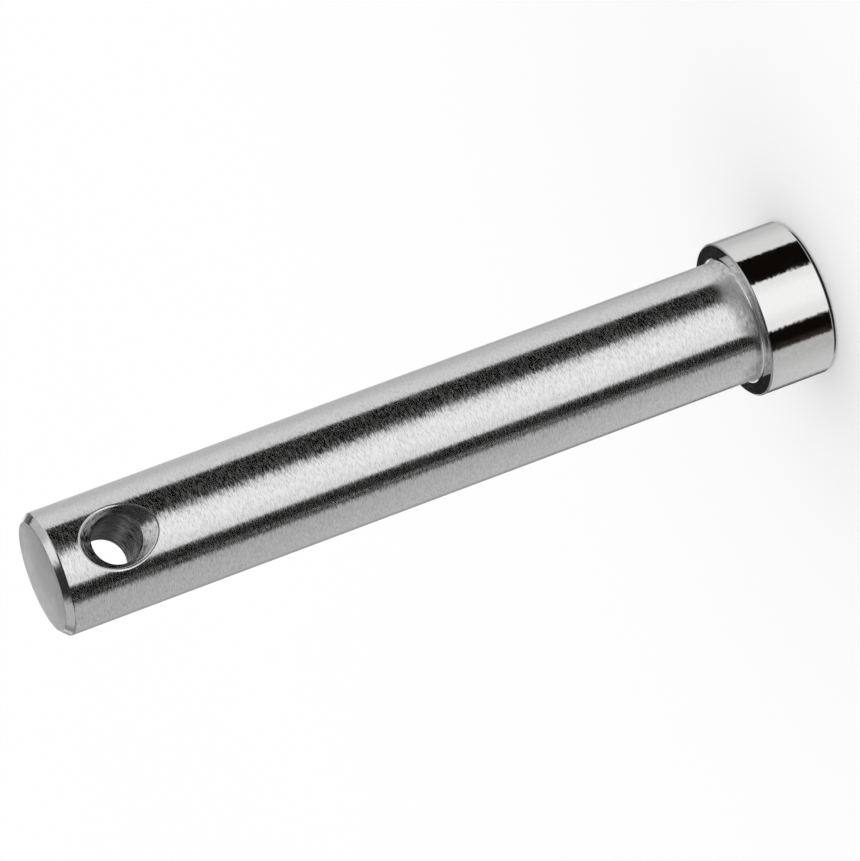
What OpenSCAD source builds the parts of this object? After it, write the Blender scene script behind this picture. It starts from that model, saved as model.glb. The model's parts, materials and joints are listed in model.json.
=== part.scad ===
// Headed pulley shaft, turned in one piece from round bar, with a cross hole for a
// split pin near its free end. It stands on its head: the centre of the head's outer
// face is the origin, the axis runs up +Z and the cross hole runs along X.

/* [Shank] */
// Diameter of the shank that the pulley turns on
shank_d = 10; // [7:0.1:11.5]
// Length of the shank, from the underside of the head to the free end
shank_l = 60; // [20:1:150]

/* [Head] */
// Diameter of the head
head_d = 12.8; // [11.5:0.1:24]
// Thickness of the head
head_h = 6; // [2:0.1:12]

/* [Cross hole] */
// Diameter of the hole drilled across the shank
hole_d = 4; // [2:0.1:5.5]
// Distance from the free end to the middle of the cross hole
hole_from_end = 5.6; // [4.5:0.1:12]
// Diameter of each countersink, where its cone passes the top of the shank's curve
sink_d = 6.3; // [4.6:0.1:7.5]
// Full angle of the countersink's cone
sink_angle = 90; // [60:5:120]

/* [Edges] */
// Chamfer at the free end, the same along the axis and across it
end_chamfer = 0.55; // [0.2:0.05:1.2]
// Chamfer round the outer face of the head
head_chamfer = 0.4; // [0.2:0.05:1.2]
// Chamfer round the underside of the head
rim_chamfer = 0.12; // [0.06:0.02:0.4]
// Fillet where the shank meets the underside of the head
shoulder_fillet = 0.3; // [0.1:0.05:0.6]
// Radius that tumbling leaves on every outer corner
corner_r = 0.1; // [0.03:0.01:0.2]

/* [Hidden] */

shank_r = shank_d / 2;
head_r = head_d / 2;
hole_r = hole_d / 2;
sink_r = sink_d / 2;
total_h = head_h + shank_l;
hole_z = total_h - hole_from_end;

// The flat ring under the head stops at the rim's chamfer and holds the fillet
shoulder_w = head_r - shank_r - rim_chamfer;
fillet_share = 0.9;
fillet_r = min(shoulder_fillet, shoulder_w * fillet_share);

// The two corners of a chamfer round no more than the chamfer holds
function edge_r(chamfer) = min(corner_r, chamfer);

// How much wider the cone gets for each millimetre along its axis
sink_slope = tan(sink_angle / 2);
sink_depth = (sink_r - hole_r) / sink_slope;
// Each cutter runs on past the surface that it leaves
overrun = 1;

turn_sides = 120;
hole_sides = 96;
arc_step = 15;

// Corners of the half section, from the axis at the head round to the axis at the
// free end: distance from the axis, height, and the radius that rounds the corner
corners = [
    [0, 0, 0],
    [head_r - head_chamfer, 0, edge_r(head_chamfer)],
    [head_r, head_chamfer, edge_r(head_chamfer)],
    [head_r, head_h - rim_chamfer, edge_r(rim_chamfer)],
    [head_r - rim_chamfer, head_h, edge_r(rim_chamfer)],
    [shank_r, head_h, fillet_r],
    [shank_r, total_h - end_chamfer, edge_r(end_chamfer)],
    [shank_r - end_chamfer, total_h, edge_r(end_chamfer)],
    [0, total_h, 0]
];

function unit(v) = v / norm(v);

// Arc that touches both edges at a corner q between its neighbours p and s
function round_corner(p, q, s, r) =
    let (
        to_p = unit(p - q),
        to_s = unit(s - q),
        half = acos(to_p * to_s) / 2,
        middle = q + unit(to_p + to_s) * r / sin(half),
        first = to_p * r / tan(half) + q - middle,
        last = to_s * r / tan(half) + q - middle,
        start = atan2(first.y, first.x),
        turn = (atan2(last.y, last.x) - start + 540) % 360 - 180,
        steps = ceil(abs(turn) / arc_step)
    )
    [for (i = [0:steps]) middle + r * [cos(start + turn * i / steps), sin(start + turn * i / steps)]];

function point(i) = [corners[i].x, corners[i].y];

half_section = [
    for (i = [0:len(corners) - 1])
        each corners[i].z == 0
            ? [point(i)]
            : round_corner(point(i - 1), point(i), point(i + 1), corners[i].z)
];

module turned_blank() {
    rotate_extrude($fn = turn_sides)
        polygon(half_section);
}

// Cone that opens outward through the shank's surface on the +X side
module countersink() {
    translate([shank_r - sink_depth, 0, hole_z])
        rotate([0, 90, 0])
            cylinder(
                h = sink_depth + overrun,
                r1 = hole_r,
                r2 = sink_r + overrun * sink_slope,
                $fn = hole_sides
            );
}

module cross_bore() {
    translate([-shank_r - overrun, 0, hole_z])
        rotate([0, 90, 0])
            cylinder(h = shank_d + 2 * overrun, r = hole_r, $fn = hole_sides);
}

module pulley_shaft() {
    color([0.78, 0.79, 0.8])
        difference() {
            turned_blank();
            cross_bore();
            countersink();
            mirror([1, 0, 0])
                countersink();
        }
}

pulley_shaft();
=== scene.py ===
"""Looks of the pulley shaft: a bright steel pin, ground on the shank and polished on the head.

The pin stands on its head at the frame's origin, axis up +Z, cross hole along X. Its skin is rebuilt here
as one fine mesh on the same surfaces as the CAD solid, with exact normals, because polished steel shows
every facet in its reflections.
"""
import json
import math
from typing import NamedTuple

import bpy
import numpy as np
from mathutils import Matrix, Vector


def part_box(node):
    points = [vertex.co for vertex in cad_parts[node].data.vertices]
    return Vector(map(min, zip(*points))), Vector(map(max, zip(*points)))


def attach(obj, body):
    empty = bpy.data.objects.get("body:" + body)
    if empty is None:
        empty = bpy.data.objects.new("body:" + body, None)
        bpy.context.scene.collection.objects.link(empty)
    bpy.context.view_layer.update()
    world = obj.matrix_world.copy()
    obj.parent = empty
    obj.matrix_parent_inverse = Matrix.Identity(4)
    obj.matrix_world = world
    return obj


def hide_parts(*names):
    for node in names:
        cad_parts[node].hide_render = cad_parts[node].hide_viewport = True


MM = 0.001
NODE = "pulley_shaft"

# Sizes of the edges and countersinks in millimetres, as in the CAD source
END_CHAMFER = 0.55
HEAD_CHAMFER = 0.4
RIM_CHAMFER = 0.12
SHOULDER_FILLET = 0.3
CORNER_R = 0.1
SINK_D = 6.3
SINK_ANGLE = 90
# Worn radii that are too fine for the CAD source: where the end's chamfer meets the shank, and at the
# two edges of each countersink
END_EDGE_R = 0.22
MOUTH_EDGE_R = 0.24
BORE_EDGE_R = 0.2

# Divisions of the turned surfaces: sides round the axis, steps round a corner, and the longest row along
# the axis in millimetres
TURN_SIDES = 256
CORNER_STEPS = 6
LONGEST_ROW = 4.0
# Window in the shank round each mouth: half its width in degrees, half its height in millimetres, the rings
# that fill it, and how strongly they crowd toward the mouth
PATCH_HALF_ANGLE = 45
PATCH_HALF_HEIGHT = 4.2
PATCH_RINGS = 14
PATCH_CROWDING = 1.5
# Divisions of the rounded mouth, the cone, the rounded throat and half the bore
MOUTH_STEPS = 5
CONE_RINGS = 8
THROAT_STEPS = 3
BORE_RINGS = 8
# Points that fall on the same one of this many steps in a millimetre are joined
STEPS_PER_MM = 1e6
# Room for rounding errors where two heights in millimetres are compared
TOLERANCE = 1e-6

# Camera of the photograph, in the row frame: millimetres and degrees
SENSOR_MM = 36
LENS_MM = 241.6
CAMERA_AIM = (0.034, 0.176, 32.84)
CAMERA_AZIMUTH = -10.95
CAMERA_ELEVATION = 17.10
CAMERA_DISTANCE = 451.6
CAMERA_ROLL = 110.36
# Nearest and farthest distance that it sees, in metres
CAMERA_CLIP = (0.01, 50.0)

# Floor: half its side in metres, features of its faint clouds per metre, and its tones
FLOOR_HALF = 3.0
FLOOR_CLOUDS = 6.0
FLOOR_TONES = (0.99, 1.0)

# Level of the studio between its cards
ROOM_LEVEL = 0.5
# Elevation at which a leaning card stands at its written azimuth
LEAN_LEVEL = -20


class Card(NamedTuple):
    """A card of the studio, with its borders in degrees as seen from the pin."""
    # Azimuths between which it stands
    start: float
    end: float
    # Elevations between which it stands
    low: float
    high: float
    # How bright it is, where 1 is white
    level: float
    # How far each border fades to either side, in degrees
    start_soft: float = 2.0
    end_soft: float = 2.0
    low_soft: float = 4.0
    high_soft: float = 4.0
    # How far the start border moves round for each degree of elevation
    lean: float = 0.0
    # Share by which its red is raised and its blue lowered
    warmth: float = 0.0


# The studio that the steel reflects, painted on the sky in this order, so that a later card covers the ones
# before it
CARDS = {
    "wall_right": Card(60, 160, -90, 58, 0.74),
    "wall_right_end": Card(108, 170, -90, 58, 0.56, start_soft=18),
    "wall_right_high": Card(86, 125, 34, 58, 0.54, start_soft=3, end_soft=6),
    "wall_left": Card(-160, -60, -90, 56, 0.47, start_soft=8),
    "wall_left_high": Card(-158, -110, 26, 56, 0.54, start_soft=6, end_soft=4),
    "wall_left_low": Card(-162, -108, -60, -16, 0.61, start_soft=14, end_soft=20, low_soft=6, high_soft=4),
    "wall_left_glow": Card(-175, -84, -20.4, -18, 0.55,
                           start_soft=10, end_soft=6, low_soft=0.3, high_soft=1),
    "right_gap_low": Card(137, 153, -60, -19, 0.29, start_soft=7, end_soft=6, high_soft=4),
    "right_gap_high": Card(133, 150, -5, 26, 0.18, start_soft=5, end_soft=4),
    "back_wall": Card(154, 177, -30, 9, 0.61, start_soft=4, end_soft=4, high_soft=4),
    "back_wall_high": Card(151, 172, -12, 8, 1.0, start_soft=3, end_soft=4, low_soft=2),
    "left_gap": Card(178, 197, -32, 4, 0.34, start_soft=4, end_soft=8),
    "left_gap_low": Card(178, 196, -40, -19, 0.12, start_soft=4, end_soft=6, high_soft=2.5),
    "left_gap_high": Card(-178, -108, -8, 22, 0.26, start_soft=6, end_soft=10, low_soft=3, high_soft=5),
    "back_top": Card(130, 196, 17.5, 60, 0.015, end_soft=4, high_soft=8, low_soft=2),
    "back_glow": Card(171, 194, 4, 17.5, 0.85, start_soft=5, end_soft=6, low_soft=3, high_soft=1),
    "table_back": Card(138, 204, -76, -32, 0.02, start_soft=5, end_soft=5, low_soft=4),
    "table_front": Card(-95, 95, -90, -38, 0.55, start_soft=8, end_soft=8),
    "top_flag": Card(-110, 12, 56, 90, 0.03, start_soft=8, end_soft=14, low_soft=6),
    "top_light": Card(30, 85, 50, 86, 1.0, start_soft=12, end_soft=4),
    "front_upper_flag": Card(-86, 22, 6, 62, 0.04, start_soft=3, end_soft=4, low_soft=6),
    "softbox": Card(-45, 27, -33, 6, 0.87, start_soft=1, end_soft=1),
    "softbox_middle": Card(-26, 14, -33, 6, 1.0, start_soft=12, end_soft=10),
    "flag_right": Card(26.5, 71.5, -38, 8, 0.003, start_soft=2, end_soft=2, lean=-1.4, warmth=0.3),
    "flag_left": Card(-75.8, -45, -38, 20, 0.003, start_soft=3, end_soft=2.5, lean=-0.6, warmth=0.3),
    "flag_left_sheen": Card(-77, -67, -26, -20.8, 0.02,
                            start_soft=2, end_soft=4, high_soft=0.3, warmth=0.4),
    "flag_left_slot": Card(-73.5, -66.5, -18.5, -17.5, 1.0,
                           start_soft=0.7, end_soft=1.5, low_soft=0.3, high_soft=1),
}


def unit(v):
    """Each vector in the last axis, brought to length one."""
    v = np.asarray(v, float)
    return v / np.linalg.norm(v, axis=-1, keepdims=True)


def part_sizes(frame):
    """The sizes that the frame gives, in millimetres."""
    low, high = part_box(NODE)
    mounts = {m["name"]: m for m in frame["record"]["mounts"]}
    return {
        "total_h": high.z / MM,
        "head_r": (high.x - low.x) / 2 / MM,
        "head_h": mounts["shoulder"]["pos_m"][2] / MM,
        "shank_r": mounts["shank"]["dims"]["r_mm"],
        "hole_r": mounts["cross_hole"]["dims"]["r_mm"],
        "hole_z": mounts["cross_hole"]["pos_m"][2] / MM,
    }


class Skin:
    """A mesh in millimetres, made of grids of points that share their borders, with a normal for each."""

    def __init__(self):
        self.index = {}
        self.points = []
        self.normals = []
        self.faces = []
        self.slots = []

    def point(self, p, n):
        """Number of the point p, which is added with its normal n if it is new."""
        key = tuple(int(round(c * STEPS_PER_MM)) for c in p)
        if key not in self.index:
            self.index[key] = len(self.points)
            self.points.append([float(c) for c in p])
            self.normals.append([float(c) for c in n])
        return self.index[key]

    def grid(self, points, normals, slot, flip=False):
        """Rows of points, shape (rows, columns, 3). Faces look along the normals unless flip is set."""
        ids = [[self.point(p, n) for p, n in zip(*row)] for row in zip(points, normals)]
        for a, b in zip(ids, ids[1:]):
            for k in range(len(a) - 1):
                face = [a[k], a[k + 1], b[k + 1], b[k]]
                if flip:
                    face.reverse()
                face = [v for i, v in enumerate(face) if v != face[i - 1]]
                if len(face) > 2:
                    self.faces.append(face)
                    self.slots.append(slot)

    def build(self, name, materials):
        """Makes the mesh, in metres, and puts it into the scene as an object."""
        mesh = bpy.data.meshes.new(name)
        mesh.from_pydata([[c * MM for c in p] for p in self.points], [], self.faces)
        for material in materials:
            mesh.materials.append(material)
        mesh.polygons.foreach_set("material_index", self.slots)
        mesh.polygons.foreach_set("use_smooth", [True] * len(self.faces))
        mesh.update()
        mesh.normals_split_custom_set_from_vertices(self.normals)
        piece = bpy.data.objects.new(name, mesh)
        bpy.context.scene.collection.objects.link(piece)
        return piece


def corner_arc(before, corner, after, radius):
    """Points and normals of the arc that rounds a corner of the half section, tangent to both edges."""
    to_before = unit(np.subtract(before, corner))
    to_after = unit(np.subtract(after, corner))
    half = math.acos(float(to_before @ to_after)) / 2
    middle = corner + unit(to_before + to_after) * radius / math.sin(half)
    first = corner + to_before * radius / math.tan(half) - middle
    last = corner + to_after * radius / math.tan(half) - middle
    start = math.atan2(first[1], first[0])
    # The shorter way round
    turn = (math.atan2(last[1], last[0]) - start + 3 * math.pi) % (2 * math.pi) - math.pi
    # A convex corner turns left along the section, and a fillet turns right
    sign = 1 if turn > 0 else -1
    arc = []
    for i in range(CORNER_STEPS + 1):
        angle = start + turn * i / CORNER_STEPS
        spoke = np.array([math.cos(angle), math.sin(angle)])
        arc.append((middle + radius * spoke, sign * spoke))
    return arc


def half_section(size):
    """Half section from the head's face round to the free end: for each edge between two corners, the name
    of its finish and its points with their normals. Each rounded corner is shared out to its two edges."""
    head_r, head_h, shank_r, total_h = (size[k] for k in ("head_r", "head_h", "shank_r", "total_h"))
    corners = [
        ((0, 0), 0),
        ((head_r - HEAD_CHAMFER, 0), CORNER_R),
        ((head_r, HEAD_CHAMFER), CORNER_R),
        ((head_r, head_h - RIM_CHAMFER), CORNER_R),
        ((head_r - RIM_CHAMFER, head_h), CORNER_R),
        ((shank_r, head_h), SHOULDER_FILLET),
        ((shank_r, total_h - END_CHAMFER), END_EDGE_R),
        ((shank_r - END_CHAMFER, total_h), CORNER_R),
        ((0, total_h), 0),
    ]
    # Outer face, its chamfer, side, rim's chamfer and underside of the head, then the shank, the end's
    # chamfer and the end's face
    slots = ["head", "head", "head", "rim", "head", "shank", "chamfer", "end"]
    arcs = []
    for i, (point, radius) in enumerate(corners):
        point = np.array(point, float)
        if radius:
            arcs.append(corner_arc(np.array(corners[i - 1][0], float), point,
                                   np.array(corners[i + 1][0], float), radius))
        else:
            arcs.append([(point, np.array([0.0, -1.0 if i == 0 else 1.0]))])
    section = []
    for i, slot in enumerate(slots):
        stretch = arcs[i][len(arcs[i]) // 2:] + arcs[i + 1][:len(arcs[i + 1]) // 2 + 1]
        section.append((slot, stretch))
    return section


def split_long(stretch, size):
    """Adds rows on a long straight stretch, and leaves out the rows that the hole's patch fills."""
    low, high = size["hole_z"] - PATCH_HALF_HEIGHT, size["hole_z"] + PATCH_HALF_HEIGHT
    out = [stretch[0]]
    for (p, n), (q, m) in zip(stretch, stretch[1:]):
        stops = [0.0, 1.0]
        length = np.linalg.norm(q - p)
        if length > LONGEST_ROW:
            rows = math.ceil(length / LONGEST_ROW)
            stops = [i / rows for i in range(rows + 1)]
            if p[1] < low < high < q[1]:
                marks = [(low - p[1]) / (q[1] - p[1]), (high - p[1]) / (q[1] - p[1])]
                stops = sorted([s for s in stops if not marks[0] < s < marks[1]] + marks)
        out += [(p + (q - p) * s, n) for s in stops[1:-1]] + [(q, m)]
    return out


def turn_grid(stretch, angles):
    """A stretch of the section turned round the axis through the given angles."""
    cos, sin = np.cos(angles), np.sin(angles)
    points = np.array([[p[0] * c, p[0] * s, p[1]] for p, _ in stretch for c, s in zip(cos, sin)])
    normals = np.array([[n[0] * c, n[0] * s, n[1]] for _, n in stretch for c, s in zip(cos, sin)])
    shape = (len(stretch), len(angles), 3)
    return points.reshape(shape), normals.reshape(shape)


def arc_between(edge, n_from, n_to, radius, steps):
    """Rounds the edge between two surfaces with normals n_from and n_to: rows of (points, normals)."""
    dot = np.sum(n_from * n_to, axis=1, keepdims=True)
    middle = edge - radius * (n_from + n_to) / (1 + dot)
    angle = np.arccos(dot)
    rows = []
    for i in range(steps + 1):
        f = i / steps
        n = (np.sin((1 - f) * angle) * n_from + np.sin(f * angle) * n_to) / np.sin(angle)
        rows.append((middle + radius * n, n))
    return rows


def patch_border(size):
    """Closed loop of (angle, height) round the window in the shank that a mouth's patch fills."""
    step = 360 / TURN_SIDES
    count = round(2 * PATCH_HALF_ANGLE / step)
    across = np.radians(np.linspace(-PATCH_HALF_ANGLE, PATCH_HALF_ANGLE, count + 1))
    up = size["hole_z"] + np.linspace(-PATCH_HALF_HEIGHT, PATCH_HALF_HEIGHT, count + 1)
    loop = [(a, up[0]) for a in across[:-1]] + [(across[-1], z) for z in up[:-1]]
    loop += [(a, up[-1]) for a in across[:0:-1]] + [(across[0], z) for z in up[::-1]]
    return np.array(loop), up


def sink_slope():
    """How much wider the countersink's cone gets for each millimetre along the hole."""
    return math.tan(math.radians(SINK_ANGLE / 2))


def bore_start(size):
    """Distance from the shank's axis at which the cone has narrowed to the bore."""
    return size["shank_r"] - (SINK_D / 2 - size["hole_r"]) / sink_slope()


def mouth_edge(size, sin, cos):
    """Points where the cone meets the shank, and the shank's normals there, for turns round the hole."""
    shank_r, slope = size["shank_r"], sink_slope()
    # The cone's distance from the hole's axis grows by slope, and the point lies on the shank's circle
    reach = shank_r - SINK_D / 2 / slope
    a = 1 / slope**2 + sin**2
    rho = (-reach / slope + np.sqrt(reach**2 / slope**2 - a * (reach**2 - shank_r**2))) / a
    y, z = rho * sin, rho * cos
    x = np.sqrt(shank_r**2 - y**2)
    points = np.stack([x, y, z + size["hole_z"]], 1)
    return points, np.stack([x / shank_r, y / shank_r, 0 * x], 1)


def patch_rows(size, border, first):
    """Rings on the shank's own surface, from the window's border to the mouth's first ring."""
    inner = np.stack([np.arctan2(first[:, 1], first[:, 0]), first[:, 2]], 1)
    rows = []
    for i in range(PATCH_RINGS + 1):
        f = 1 - (1 - i / PATCH_RINGS)**PATCH_CROWDING
        angle, height = (border + (inner - border) * f).T
        n = np.stack([np.cos(angle), np.sin(angle), 0 * angle], 1)
        rows.append((np.stack([size["shank_r"] * n[:, 0], size["shank_r"] * n[:, 1], height], 1), n))
    return rows


def cone_rows(size, first, last):
    """Rings down the cone, from the mouth's last ring to the throat's first one."""
    slope = sink_slope()
    rows = []
    for i in range(1, CONE_RINGS):
        p = first[0] + (last[0] - first[0]) * i / CONE_RINGS
        radial = p[:, 1:] - [0, size["hole_z"]]
        rho = np.linalg.norm(radial, axis=1)
        n = unit(np.stack([slope * rho, -radial[:, 0], -radial[:, 1]], 1))
        p[:, 0] = bore_start(size) + (rho - size["hole_r"]) / slope
        rows.append((p, n))
    return [first] + rows + [last]


def bore_rows(wall, normals):
    """Rings along the bore, from the throat to the middle of the shank."""
    rows = []
    for i in range(BORE_RINGS + 1):
        p = wall.copy()
        p[:, 0] *= 1 - i / BORE_RINGS
        rows.append((p, normals))
    return rows


def hole_rows(size):
    """Rings of the mouth on the +X side, from the window's border to the middle of the bore."""
    hole_r, hole_z = size["hole_r"], size["hole_z"]
    border, _ = patch_border(size)
    turn = np.arctan2(size["shank_r"] * border[:, 0], border[:, 1] - hole_z)
    sin, cos = np.sin(turn), np.cos(turn)
    mouth, shank_n = mouth_edge(size, sin, cos)
    cone_n = unit(np.stack([sink_slope() + 0 * sin, -sin, -cos], 1))
    bore_n = np.stack([0 * sin, -sin, -cos], 1)
    throat = np.stack([bore_start(size) + 0 * sin, hole_r * sin, hole_r * cos + hole_z], 1)

    mouth_rows = arc_between(mouth, shank_n, cone_n, MOUTH_EDGE_R, MOUTH_STEPS)
    throat_rows = arc_between(throat, cone_n, bore_n, BORE_EDGE_R, THROAT_STEPS)
    flat_rows = patch_rows(size, border, mouth_rows[0][0])
    mouth_rows[0] = flat_rows[-1]
    return {
        "shank": flat_rows,
        "mouth": mouth_rows,
        "cone": cone_rows(size, mouth_rows[-1], throat_rows[0]),
        "throat": throat_rows,
        "bore": bore_rows(throat_rows[-1][0], bore_n),
    }


def turned_parts(slot, rows, size):
    """The rows of a stretch, in two parts where the hole's window cuts the shank."""
    reach = PATCH_HALF_HEIGHT + TOLERANCE
    cut = [i for i, (p, _) in enumerate(rows) if abs(p[1] - size["hole_z"]) < reach]
    if slot == "shank" and len(cut) == 2:
        return [rows[:cut[0] + 1], rows[cut[1]:]]
    return [rows]


def add_turned(skin, size, slot_of):
    """All stretches of the section turned right round the axis, but for the band that holds the mouths."""
    full_turn = np.linspace(0, 2 * math.pi, TURN_SIDES + 1)
    for slot, stretch in half_section(size):
        for part in turned_parts(slot, split_long(stretch, size), size):
            skin.grid(*turn_grid(part, full_turn), slot_of[slot])


def add_sides(skin, size, slot_of):
    """The shank between the two mouths."""
    _, heights = patch_border(size)
    band = [(np.array([size["shank_r"], z]), np.array([1.0, 0.0])) for z in heights]
    half = 90 - PATCH_HALF_ANGLE
    steps = round(2 * half / 360 * TURN_SIDES)
    for middle in (90, 270):
        angles = np.radians(np.linspace(middle - half, middle + half, steps + 1))
        skin.grid(*turn_grid(band, angles), slot_of["shank"])


def add_mouths(skin, size, slot_of):
    """The two mouths with their cones, and the bore between them."""
    finish = {"shank": "shank", "mouth": "mouth", "cone": "cone", "throat": "mouth", "bore": "bore"}
    for side in (1, -1):
        mirror = np.array([side, 1, 1])
        for name, rows in hole_rows(size).items():
            points = np.array([p for p, _ in rows]) * mirror
            normals = np.array([n for _, n in rows]) * mirror
            # Each ring closes on its own first point
            points = np.concatenate([points, points[:, :1]], 1)
            normals = np.concatenate([normals, normals[:, :1]], 1)
            skin.grid(points, normals, slot_of[finish[name]], flip=side < 0)


def shaft_skin(size, slot_of):
    """The whole skin of the pin."""
    skin = Skin()
    add_turned(skin, size, slot_of)
    add_sides(skin, size, slot_of)
    add_mouths(skin, size, slot_of)
    return skin


class Nodes:
    """Short calls for building a shader tree."""

    def __init__(self, tree):
        self.tree = tree
        self.tree.nodes.clear()

    def add(self, kind, inputs=None, **settings):
        """A new node with its settings and with what goes into its inputs."""
        node = self.tree.nodes.new(kind)
        for key, value in settings.items():
            setattr(node, key, value)
        for key, value in (inputs or {}).items():
            self.feed(node.inputs[key], value)
        return node

    def feed(self, socket, value):
        """Links an output to the socket, or sets the socket's own value."""
        if isinstance(value, bpy.types.NodeSocket):
            self.tree.links.new(value, socket)
        else:
            socket.default_value = value

    def math(self, operation, *values):
        node = self.add("ShaderNodeMath", dict(enumerate(values)), operation=operation)
        return node.outputs[0]

    def vector(self, operation, *values):
        node = self.add("ShaderNodeVectorMath", dict(enumerate(values)), operation=operation)
        return node.outputs[0]

    def ramp(self, value, low, high, to_low=0.0, to_high=1.0):
        """A smooth step from to_low to to_high while value goes from low to high."""
        node = self.add(
            "ShaderNodeMapRange",
            {"Value": value, "From Min": low, "From Max": high, "To Min": to_low, "To Max": to_high},
            interpolation_type="SMOOTHSTEP",
        )
        return node.outputs["Result"]

    def mix(self, factor, first, second):
        """Number first, going to second as factor goes to 1."""
        inputs = {"Factor": factor, "A": first, "B": second}
        node = self.add("ShaderNodeMix", inputs, data_type="FLOAT")
        return node.outputs["Result"]

    def blend(self, factor, first, second):
        """Colour first, going to second as factor goes to 1."""
        node = self.add("ShaderNodeMix", data_type="RGBA")
        self.feed(node.inputs["Factor"], factor)
        self.feed(node.inputs["A"], first)
        self.feed(node.inputs["B"], second)
        return node.outputs["Result"]

    def noise(self, place, scale, detail=2.0, roughness=0.5):
        """Noise from 0 to 1 with separate scales along the three axes, in features per metre."""
        stretch = self.vector("MULTIPLY", place, scale)
        node = self.add(
            "ShaderNodeTexNoise",
            {"Vector": stretch, "Scale": 1.0, "Detail": detail, "Roughness": roughness},
        )
        return node.outputs["Fac"]


def grey(level, warmth=0.0):
    """A grey whose red is raised and whose blue is lowered by the share that warmth gives."""
    return (level * (1 + warmth), level, level * (1 - warmth), 1.0)


class Finish(NamedTuple):
    """How a machined surface looks."""
    # Tones between the marks and in the darkest ones; the rim's and the bore's are set below the steel's
    # own as painted shade
    light: float
    dark: float
    # Roughness between the marks, and how far it drifts up and down
    roughness: float
    roughness_spread: float
    # Size, in millimetres along X, Y and Z, of the marks that the cutter or the wheel left
    marks: tuple
    # Roughness of the coarsest marks
    coarse: float
    # How far the marks tilt the surface along X, Y and Z
    tilt: tuple
    # Height in millimetres of the fine relief
    relief: float = 0.0
    # How much the roughness lies along marks that run round the axis
    lay: float = 0.0
    # Slope of a slightly domed face at one millimetre from the axis
    dome: float = 0.0
    # Share by which its red is raised and its blue lowered
    warmth: float = 0.0
    # Share of the light that the finest scratches scatter
    haze: float = 0.0
    # Share of the light that the steel sends back where it is seen at a low angle; lowered in the bore as
    # painted shade
    edge_tint: float = 1.0
    # Roughness next to the head, where the wheel can't reach
    shoulder: float = 0.0
    # How much the haze comes and goes with the marks on the scratched side
    scratches: float = 0.0


FINISHES = {
    "head": Finish(
        light=0.88, dark=0.86, warmth=0.004,
        roughness=0.06, roughness_spread=0.02, coarse=0.08,
        marks=(0.35, 0.35, 0.25), tilt=(0.05, 0.05, 0.05), relief=0.0002,
    ),
    "shank": Finish(
        light=0.85, dark=0.65, haze=0.022, scratches=1.0,
        roughness=0.14, roughness_spread=0.02, coarse=0.40, shoulder=0.56,
        marks=(0.42, 0.42, 0.085), tilt=(0.06, 0.06, 0.20), relief=0.0010, lay=0.6,
    ),
    # The rim's tones are painted shade: a darker copy of the head's steel that dims the highlight on this
    # small chamfer; its higher roughness is its own finish
    "rim": Finish(
        light=0.60, dark=0.50,
        roughness=0.30, roughness_spread=0.04, coarse=0.30,
        marks=(0.3, 0.3, 0.3), tilt=(0.1, 0.1, 0.1), relief=0.0004,
    ),
    "end": Finish(
        light=0.96, dark=0.89, haze=0.06,
        roughness=0.34, roughness_spread=0.03, coarse=0.36,
        marks=(0.6, 0.6, 0.6), tilt=(0.02, 0.02, 0.0), relief=0.0002, dome=0.009,
    ),
    "chamfer": Finish(
        light=0.78, dark=0.70,
        roughness=0.15, roughness_spread=0.04, coarse=0.18,
        marks=(0.4, 0.4, 0.2), tilt=(0.1, 0.1, 0.1), relief=0.0004,
    ),
    "mouth": Finish(
        light=0.88, dark=0.82,
        roughness=0.22, roughness_spread=0.04, coarse=0.30,
        marks=(0.3, 0.3, 0.3), tilt=(0.1, 0.1, 0.1), relief=0.0004,
    ),
    "cone": Finish(
        light=0.74, dark=0.34,
        roughness=0.22, roughness_spread=0.06, coarse=0.44,
        marks=(0.10, 0.6, 0.6), tilt=(0.5, 0.2, 0.2), relief=0.0020,
    ),
    # The bore's tones are painted shade: the steel inside the hole is darkened far below its own tone,
    # nearly to black in its darkest marks
    "bore": Finish(
        light=0.28, dark=0.02, edge_tint=0.5,
        roughness=0.28, roughness_spread=0.06, coarse=0.50,
        marks=(0.08, 0.9, 0.9), tilt=(0.7, 0.2, 0.2), relief=0.0040,
    ),
}
# Levels of detail in the noise behind the marks' relief, their tilt and their streaks, and in the clouds
RELIEF_DETAIL = 2.0
TILT_DETAIL = 1.0
STREAK_DETAIL = 3.0
CLOUD_DETAIL = 3.0
# How strongly the finer levels of the streaks show
STREAK_FINENESS = 0.65
# Size in millimetres of the clouds in which the roughness drifts
CLOUD_SIZE = 2.5
# The noise runs from 0 to 1 about this middle
NOISE_MIDDLE = 0.5
# Levels of the noise between which the marks go from fine to coarse and from light to dark, between which
# the roughness drifts, and between which a mottle or a scratch comes up
COARSE_RANGE = (0.40, 0.85)
DARK_RANGE = (0.35, 0.75)
DRIFT_RANGE = (0.3, 0.7)
MOTTLE_RANGE = (0.38, 0.62)
# Heights in millimetres between which the shank next to the head goes from coarse to fine
SHOULDER_FADE = (6.9, 8.5)
# Azimuth at which that border dips toward the head, how far it dips in millimetres, and the distances
# from the axis along that azimuth, in millimetres, between which it does
SHOULDER_DIP_AZIMUTH = -44
SHOULDER_DIP = 1.5
SHOULDER_DIP_REACH = (4.6, 5.0)
# How far that border wanders along the axis, in millimetres
SHOULDER_WANDER = 2.4
# How far the roughness next to the head spreads, and the tones of its marks
SHOULDER_SPREAD = 0.12
SHOULDER_TONES = (grey(1.0), grey(0.74))
# Distances toward +Y in millimetres between which the scratched side begins
SCRATCHED_SIDE = (-2.5, 1.5)
# Share of the haze that the other side keeps
CLEAN_SIDE_HAZE = 0.6
# Quarter turn that puts the wide direction of the roughness across the grinding marks
ACROSS_THE_LAY = 0.25


def scales(sizes):
    """Features per metre for sizes in millimetres."""
    return tuple(1 / (size * MM) for size in sizes)


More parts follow.
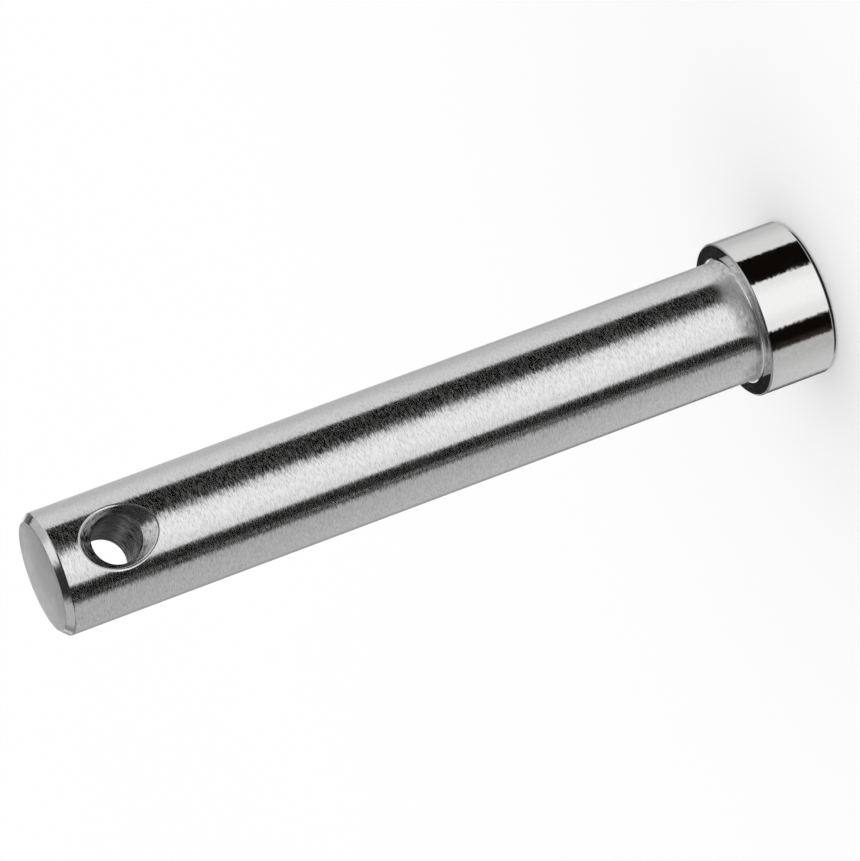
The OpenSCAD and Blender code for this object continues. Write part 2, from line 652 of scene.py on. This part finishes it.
def tilted(nodes, place, finish):
    """The surface's normal, tilted this way and that by the machining marks."""
    stretch = nodes.vector("MULTIPLY", place, scales(finish.marks))
    inputs = {"Vector": stretch, "Scale": 1.0, "Detail": TILT_DETAIL}
    wander = nodes.add("ShaderNodeTexNoise", inputs).outputs["Color"]
    centred = nodes.vector("SUBTRACT", wander, (NOISE_MIDDLE,) * 3)
    normal = nodes.add("ShaderNodeNewGeometry").outputs["Normal"]
    normal = nodes.vector("MULTIPLY_ADD", centred, finish.tilt, normal)
    if finish.dome:
        slope = finish.dome / MM
        normal = nodes.vector("MULTIPLY_ADD", place, (slope, slope, 0.0), normal)
    return nodes.vector("NORMALIZE", normal)


def past_shoulder(nodes, split, streaks):
    """Goes from 0 on the coarse strip next to the head to 1 on the rest of the shank."""
    toward = math.radians(SHOULDER_DIP_AZIMUTH)
    along = nodes.math("MULTIPLY", split.outputs["Y"], math.sin(toward))
    along = nodes.math("MULTIPLY_ADD", split.outputs["X"], math.cos(toward), along)
    start, full = (reach * MM for reach in SHOULDER_DIP_REACH)
    dip = nodes.ramp(along, start, full, 0.0, SHOULDER_DIP * MM)
    height = nodes.math("ADD", split.outputs["Z"], dip)
    wander = nodes.math("SUBTRACT", streaks, NOISE_MIDDLE)
    height = nodes.math("MULTIPLY_ADD", wander, SHOULDER_WANDER * MM, height)
    return nodes.ramp(height, SHOULDER_FADE[0] * MM, SHOULDER_FADE[1] * MM)


def scratched(nodes, split, streaks, finish):
    """How metallic the shank is, where its haze comes and goes with the marks on the scratched side."""
    start, full = (reach * MM for reach in SCRATCHED_SIDE)
    haze = nodes.ramp(split.outputs["Y"], start, full, finish.haze * CLEAN_SIDE_HAZE, finish.haze)
    metallic = nodes.math("SUBTRACT", 1.0, haze)
    depth = nodes.ramp(split.outputs["Y"], start, full, 0.0, finish.haze * finish.scratches)
    grain = nodes.ramp(streaks, *MOTTLE_RANGE, -1.0, 1.0)
    return nodes.math("SUBTRACT", metallic, nodes.math("MULTIPLY", depth, grain))


def steel(name, finish):
    """Bright steel with machining marks, and a roughness that may lie along them."""
    material = bpy.data.materials.new(name)
    material.use_nodes = True
    nodes = Nodes(material.node_tree)
    place = nodes.add("ShaderNodeTexCoord").outputs["Object"]
    marks = nodes.noise(place, scales(finish.marks), RELIEF_DETAIL)
    streaks = nodes.noise(place, scales(finish.marks), STREAK_DETAIL, STREAK_FINENESS)
    clouds = nodes.noise(place, scales((CLOUD_SIZE,) * 3), CLOUD_DETAIL)
    bump = nodes.add("ShaderNodeBump", {
        "Height": marks,
        "Distance": finish.relief * MM,
        "Normal": tilted(nodes, place, finish),
    })
    # Tones of the marks from the finish; for the rim and the bore they carry painted shade
    light, dark = grey(finish.light, finish.warmth), grey(finish.dark, finish.warmth)
    colour = nodes.blend(nodes.ramp(streaks, *DARK_RANGE), light, dark)
    low, high = finish.roughness - finish.roughness_spread, finish.roughness + finish.roughness_spread
    drift = nodes.ramp(clouds, *DRIFT_RANGE, low, high)
    roughness = nodes.mix(nodes.ramp(streaks, *COARSE_RANGE), drift, finish.coarse)
    metallic = 1.0 - finish.haze
    if finish.shoulder or finish.scratches:
        split = nodes.add("ShaderNodeSeparateXYZ", {0: place})
    if finish.shoulder:
        away = past_shoulder(nodes, split, streaks)
        mottle = nodes.ramp(streaks, *MOTTLE_RANGE)
        near = nodes.mix(mottle, finish.shoulder - SHOULDER_SPREAD, finish.shoulder + SHOULDER_SPREAD)
        roughness = nodes.mix(away, near, roughness)
        colour = nodes.blend(away, nodes.blend(mottle, *SHOULDER_TONES), colour)
    if finish.scratches:
        metallic = scratched(nodes, split, streaks, finish)
    shader = nodes.add("ShaderNodeBsdfPrincipled", {
        "Metallic": metallic,
        "Base Color": colour,
        "Specular Tint": grey(finish.edge_tint),
        "Roughness": roughness,
        "Normal": bump.outputs["Normal"],
    })
    if finish.lay:
        around = nodes.add("ShaderNodeTangent", direction_type="RADIAL", axis="Z")
        nodes.feed(shader.inputs["Tangent"], around.outputs[0])
        nodes.feed(shader.inputs["Anisotropic"], finish.lay)
        nodes.feed(shader.inputs["Anisotropic Rotation"], ACROSS_THE_LAY)
    nodes.add("ShaderNodeOutputMaterial", {"Surface": shader.outputs[0]})
    material.diffuse_color = grey(finish.light)
    return material


def build_shaft(frame):
    """The pin's skin, tied to the frame in place of the CAD solid."""
    size = part_sizes(frame)
    materials = [steel(name, finish) for name, finish in FINISHES.items()]
    slot_of = {name: i for i, name in enumerate(FINISHES)}
    piece = shaft_skin(size, slot_of).build("turned_shaft", materials)
    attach(piece, "root")
    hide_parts(NODE)


def build_floor():
    """A wide pale floor that keeps the pin's shadow and stays out of its reflections."""
    mesh = bpy.data.meshes.new("floor")
    corners = [(x * FLOOR_HALF, y * FLOOR_HALF, 0) for x, y in ((-1, -1), (1, -1), (1, 1), (-1, 1))]
    mesh.from_pydata(corners, [], [(0, 1, 2, 3)])
    floor = bpy.data.objects.new("floor", mesh)
    bpy.context.scene.collection.objects.link(floor)
    floor.visible_glossy = False
    material = bpy.data.materials.new("pale_floor")
    material.use_nodes = True
    nodes = Nodes(material.node_tree)
    place = nodes.add("ShaderNodeTexCoord").outputs["Object"]
    cloud = nodes.noise(place, (FLOOR_CLOUDS,) * 3)
    first, second = (grey(tone) for tone in FLOOR_TONES)
    shader = nodes.add("ShaderNodeBsdfDiffuse", {"Color": nodes.blend(cloud, first, second)})
    nodes.add("ShaderNodeOutputMaterial", {"Surface": shader.outputs[0]})
    mesh.materials.append(material)


def past_border(nodes, angle, border, soft):
    """A smooth step from 0 to 1 where an angle passes a border, which is given in degrees."""
    return nodes.ramp(angle, math.radians(border - soft), math.radians(border + soft))


def inside_card(nodes, azimuth, elevation, card):
    """1 inside the card and 0 outside it, with its soft borders between."""
    middle, half = (card.start + card.end) / 2, (card.end - card.start) / 2
    across = nodes.math("SUBTRACT", azimuth, math.radians(middle))
    across = nodes.math("WRAP", across, math.pi, -math.pi)
    height = nodes.math("SUBTRACT", elevation, math.radians(LEAN_LEVEL))
    leaning = nodes.math("MULTIPLY_ADD", height, -card.lean, across)
    borders = [
        past_border(nodes, leaning, -half, card.start_soft),
        nodes.math("SUBTRACT", 1.0, past_border(nodes, across, half, card.end_soft)),
    ]
    if card.low > -90:
        borders.append(past_border(nodes, elevation, card.low, card.low_soft))
    if card.high < 90:
        above = past_border(nodes, elevation, card.high, card.high_soft)
        borders.append(nodes.math("SUBTRACT", 1.0, above))
    inside = borders[0]
    for border in borders[1:]:
        inside = nodes.math("MULTIPLY", inside, border)
    return inside


def build_studio():
    """A white room for the camera and the floor, and the cards of a studio for what the steel reflects."""
    world = bpy.data.worlds.new("studio")
    bpy.context.scene.world = world
    world.use_nodes = True
    # The steel finds the cards by its own reflected rays alone
    world.cycles.sampling_method = "NONE"
    nodes = Nodes(world.node_tree)
    way = nodes.add("ShaderNodeTexCoord").outputs["Generated"]
    split = nodes.add("ShaderNodeSeparateXYZ", {0: way})
    azimuth = nodes.math("ARCTAN2", split.outputs["Y"], split.outputs["X"])
    elevation = nodes.math("ARCSINE", split.outputs["Z"])
    level = grey(ROOM_LEVEL)
    for card in CARDS.values():
        inside = inside_card(nodes, azimuth, elevation, card)
        level = nodes.blend(inside, level, grey(card.level, card.warmth))
    path = nodes.add("ShaderNodeLightPath")
    colour = nodes.blend(path.outputs["Is Glossy Ray"], grey(1.0), level)
    shader = nodes.add("ShaderNodeBackground", {"Color": colour, "Strength": 1.0})
    nodes.add("ShaderNodeOutputWorld", {"Surface": shader.outputs[0]})


def build_camera():
    """A camera at the photograph's viewing angle."""
    data = bpy.data.cameras.new("photo_camera")
    data.sensor_width = SENSOR_MM
    data.lens = LENS_MM
    data.clip_start, data.clip_end = CAMERA_CLIP
    camera = bpy.data.objects.new("photo_camera", data)
    bpy.context.scene.collection.objects.link(camera)
    azimuth, elevation = math.radians(CAMERA_AZIMUTH), math.radians(CAMERA_ELEVATION)
    back = Vector((
        math.cos(azimuth) * math.cos(elevation),
        math.sin(azimuth) * math.cos(elevation),
        math.sin(elevation),
    ))
    level = (-back).to_track_quat("-Z", "Y").to_matrix()
    turned = level @ Matrix.Rotation(math.radians(-CAMERA_ROLL), 3, "Z")
    camera.matrix_world = turned.to_4x4()
    camera.location = (Vector(CAMERA_AIM) + back * CAMERA_DISTANCE) * MM
    bpy.context.scene.camera = camera


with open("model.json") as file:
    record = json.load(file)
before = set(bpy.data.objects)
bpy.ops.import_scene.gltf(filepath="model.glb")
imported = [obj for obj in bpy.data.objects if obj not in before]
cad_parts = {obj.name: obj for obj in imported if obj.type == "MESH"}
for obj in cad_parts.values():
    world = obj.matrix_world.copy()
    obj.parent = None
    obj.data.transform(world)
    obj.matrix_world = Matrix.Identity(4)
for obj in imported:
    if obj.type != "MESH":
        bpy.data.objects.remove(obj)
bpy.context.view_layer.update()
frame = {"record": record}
build_shaft(frame)
build_floor()
build_studio()
build_camera()
bpy.context.scene.view_settings.view_transform = "Standard"
